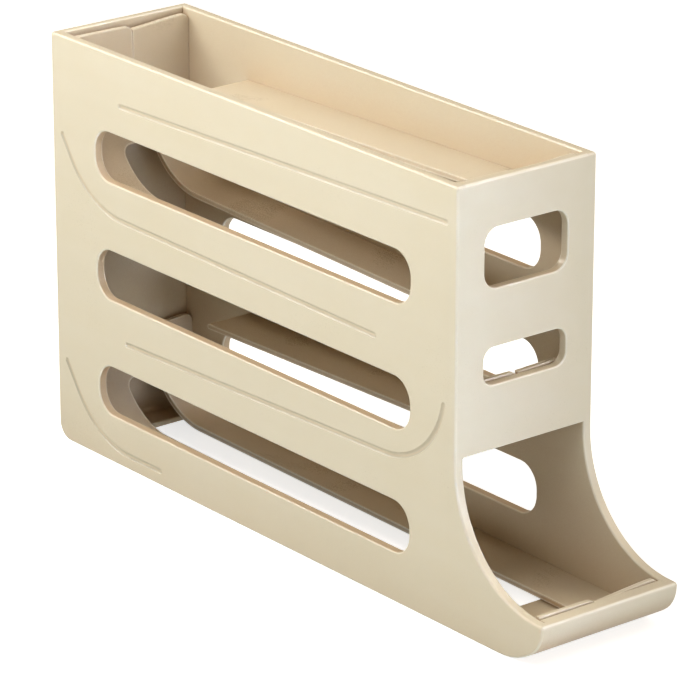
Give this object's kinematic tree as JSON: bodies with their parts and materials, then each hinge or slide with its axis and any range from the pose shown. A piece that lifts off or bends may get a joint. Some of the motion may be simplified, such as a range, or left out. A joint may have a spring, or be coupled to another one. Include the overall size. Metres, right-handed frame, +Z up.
{
  "type": "rolling egg dispenser",
  "caption": "Tall narrow egg dispenser: eggs roll down stacked sloping tracks between two windowed side panels to a scooped outlet with a low lip at the bottom.",
  "frame": {"origin": "middle of the footprint's bounding box, at the height of the surface that it stands on", "axes": "+X along the length from the rear wall to the outlet, +Y across it to the half that pulls off, +Z up"},
  "size_m": [0.371, 0.082, 0.213],
  "materials": {
    "shell_plastic": "satin cream",
    "runner_plastic": "satin cream"
  },
  "bodies": {
    "near_half": {"near_side_panel": "shell_plastic", "front_wall": "shell_plastic", "rear_wall": "shell_plastic", "outlet_lip": "shell_plastic", "tier_1_near_runner": "runner_plastic", "tier_2_near_runner": "runner_plastic", "tier_3_near_runner": "runner_plastic", "tier_4_near_runner": "runner_plastic"},
    "far_half": {"far_side_panel": "shell_plastic", "tier_1_far_runner": "runner_plastic", "tier_2_far_runner": "runner_plastic", "tier_3_far_runner": "runner_plastic", "tier_4_far_runner": "runner_plastic"}
  },
  "joints": [
    {"name": "far_half_pull_off", "type": "slide", "parent": "near_half", "child": "far_half", "axis": [0, 1, 0], "range_m": [0, 0.06]}
  ]
}
